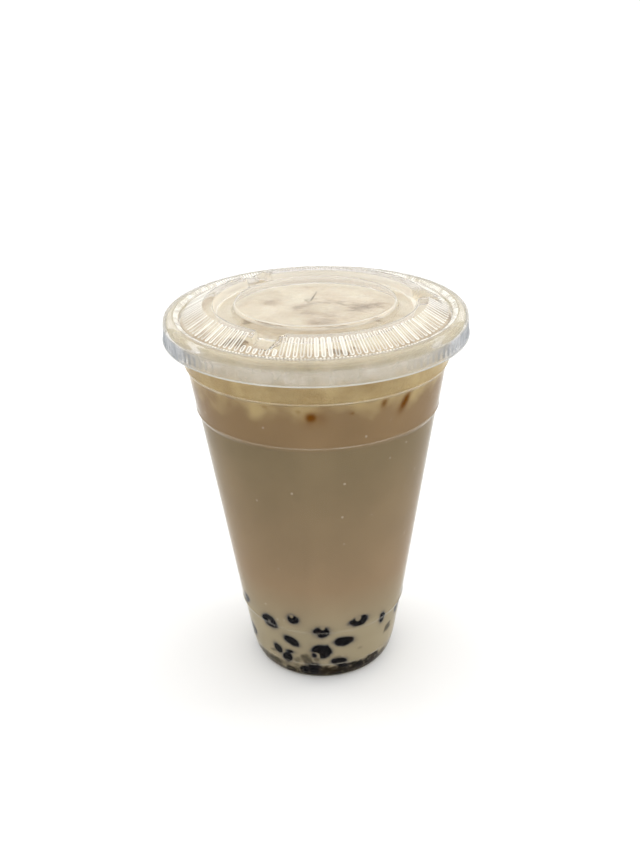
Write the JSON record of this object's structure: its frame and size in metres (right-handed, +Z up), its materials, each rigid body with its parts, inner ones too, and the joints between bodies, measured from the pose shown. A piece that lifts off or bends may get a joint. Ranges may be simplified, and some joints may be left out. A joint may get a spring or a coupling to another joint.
{
  "type": "bubble tea",
  "caption": "Milk tea with froth and tapioca pearls in a clear tapered plastic cup with a flat ribbed lid.",
  "frame": {"origin": "middle of the flat ring on which the cup stands, which is the bottom centre of the bounding box", "axes": "+Z up along the cup's axis, -Y towards the side that the picture shows, +X to the right seen from there"},
  "size_m": [0.1038, 0.1038, 0.1379],
  "materials": {
    "clear_plastic": "clear thermoformed sheet, glossy, a little hazy on the lid",
    "milk_tea": "opaque greyish tan drink against the wall",
    "froth": "pale cream milk froth with fine bubbles",
    "tapioca": "near black, smooth and wet"
  },
  "bodies": {
    "root": {"cup": "clear_plastic", "lid": "clear_plastic", "tea": "milk_tea", "froth": "froth", "pearls": "tapioca"}
  },
  "joints": []
}
